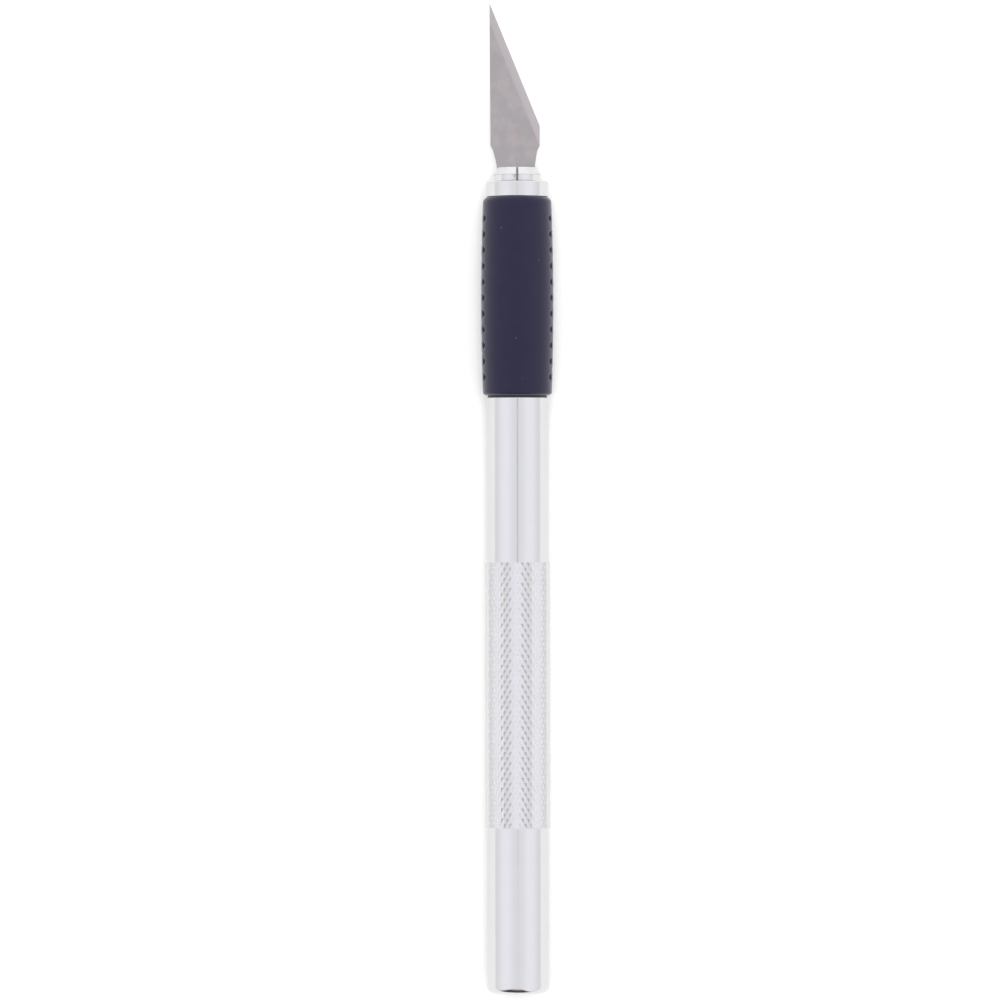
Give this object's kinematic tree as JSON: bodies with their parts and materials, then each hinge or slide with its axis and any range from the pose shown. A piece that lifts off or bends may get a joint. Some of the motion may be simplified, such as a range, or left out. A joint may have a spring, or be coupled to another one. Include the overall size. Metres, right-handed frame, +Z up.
{
  "type": "hobby craft knife",
  "caption": "Pen-style craft knife: an angled blade in a slotted collet, a soft dimpled grip, and a knurled metal handle that twists to clamp or free the blade.",
  "frame": {"origin": "on the surface that the knife lies on, under the middle of its length", "axes": "+Y along the knife from the tail to the blade tip, +Z up, with the blade flat in the plane of X and Y and its cutting edge towards +X"},
  "size_m": [0.012, 0.1624, 0.0119],
  "materials": {
    "blade_steel": "ground and lightly mottled",
    "polished_aluminium": "bright turned",
    "soft_rubber": "matt moulded",
    "spring_steel": "bright",
    "black_plastic": "matt",
    "brass": "turned"
  },
  "bodies": {
    "front_grip": {"front_sleeve": "polished_aluminium", "rubber_grip": "soft_rubber", "key_pin": "spring_steel", "snap_ring": "spring_steel", "thrust_washer": "black_plastic"},
    "handle": {"handle_tube": "polished_aluminium", "draw_nut": "brass", "end_plug": "polished_aluminium"},
    "collet": {"collet": "polished_aluminium"},
    "blade": {"blade": "blade_steel"}
  },
  "joints": [
    {"name": "handle_twist", "type": "hinge", "parent": "front_grip", "child": "handle", "pos_m": [0, 0, 0.00595], "axis": [0, -1, 0], "range_deg": [0, 540]},
    {"name": "collet_slide", "type": "slide", "parent": "front_grip", "child": "collet", "axis": [0, 1, 0], "range_m": [0, 0.0011]},
    {"name": "blade_slide", "type": "slide", "parent": "collet", "child": "blade", "axis": [0, 1, 0], "range_m": [0, 0.0145]}
  ],
  "couplings": [
    {"joint": "collet_slide", "follows": "handle_twist", "m_per_rad": 0.00011141}
  ]
}
